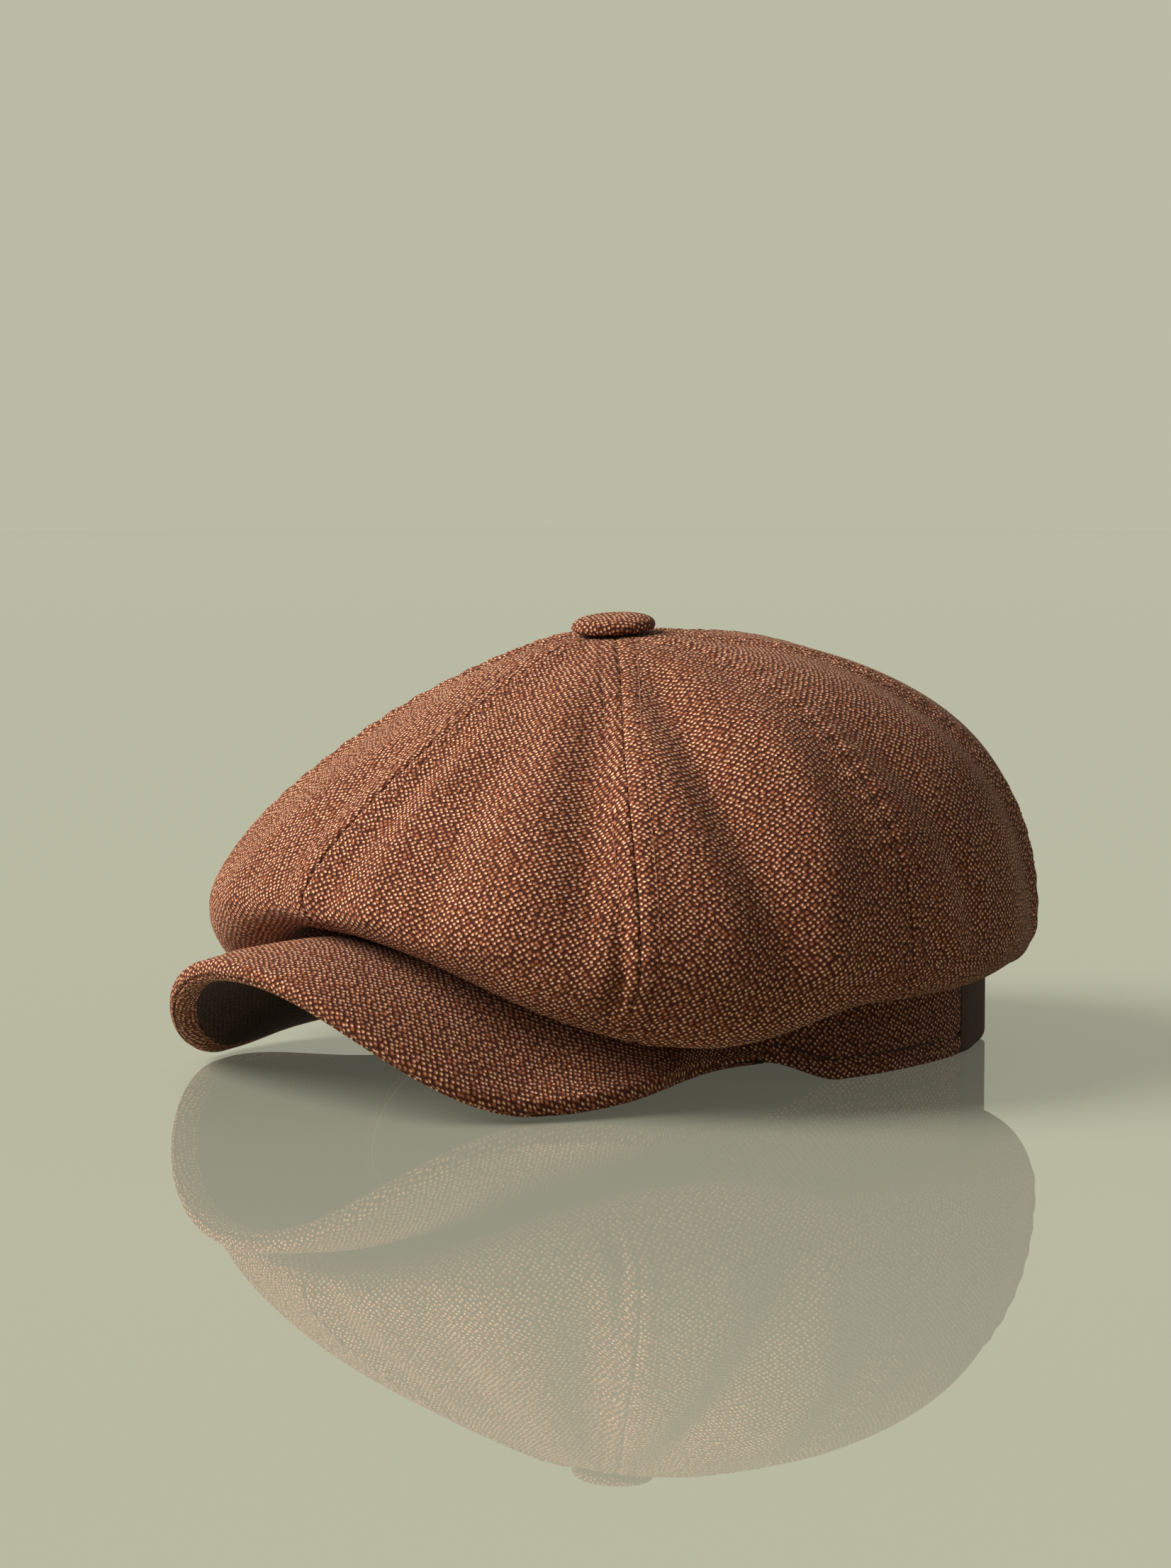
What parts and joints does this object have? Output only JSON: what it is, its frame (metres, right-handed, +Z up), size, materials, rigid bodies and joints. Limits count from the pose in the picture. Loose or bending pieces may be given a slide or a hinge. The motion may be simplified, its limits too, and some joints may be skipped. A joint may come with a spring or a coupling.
{
  "type": "newsboy cap",
  "caption": "Soft panelled tweed cap with a full drooping crown, an arched stiff peak, a covered button and an elastic back",
  "frame": {"origin": "centre of the head opening, in the plane of the surface that the cap rests on", "axes": "+Z up through the crown, -Y the way the wearer faces, +X towards the wearer's left"},
  "size_m": [0.262, 0.2996, 0.1427],
  "materials": {
    "tweed": "wool tweed, barleycorn weave",
    "band_tweed": "wool tweed, barleycorn weave",
    "peak_tweed": "wool tweed, barleycorn weave",
    "elastic": "ribbed woven elastic",
    "canvas": "stiff cotton canvas",
    "sweatband_cotton": "cotton twill",
    "label_tape": "blank woven tape",
    "satin": "satin weave lining",
    "board": "flexible moulded sheet",
    "zinc": "stamped and tumbled"
  },
  "bodies": {
    "root": {"crown_front_left": "tweed", "crown_side_front_left": "tweed", "crown_side_rear_left": "tweed", "crown_rear_left": "tweed", "crown_rear_right": "tweed", "crown_side_rear_right": "tweed", "crown_side_front_right": "tweed", "crown_front_right": "tweed", "headband": "band_tweed", "band_canvas": "canvas", "rear_elastic": "elastic", "sweatband": "sweatband_cotton", "size_label": "label_tape", "peak_cover": "peak_tweed", "peak_board": "board", "peak_under_cover": "peak_tweed", "lining_front_left": "satin", "lining_rear_left": "satin", "lining_rear_right": "satin", "lining_front_right": "satin", "lining_patch": "satin", "button_cover": "tweed", "button_shell": "zinc", "button_shank": "zinc", "button_washer": "zinc"}
  },
  "joints": []
}
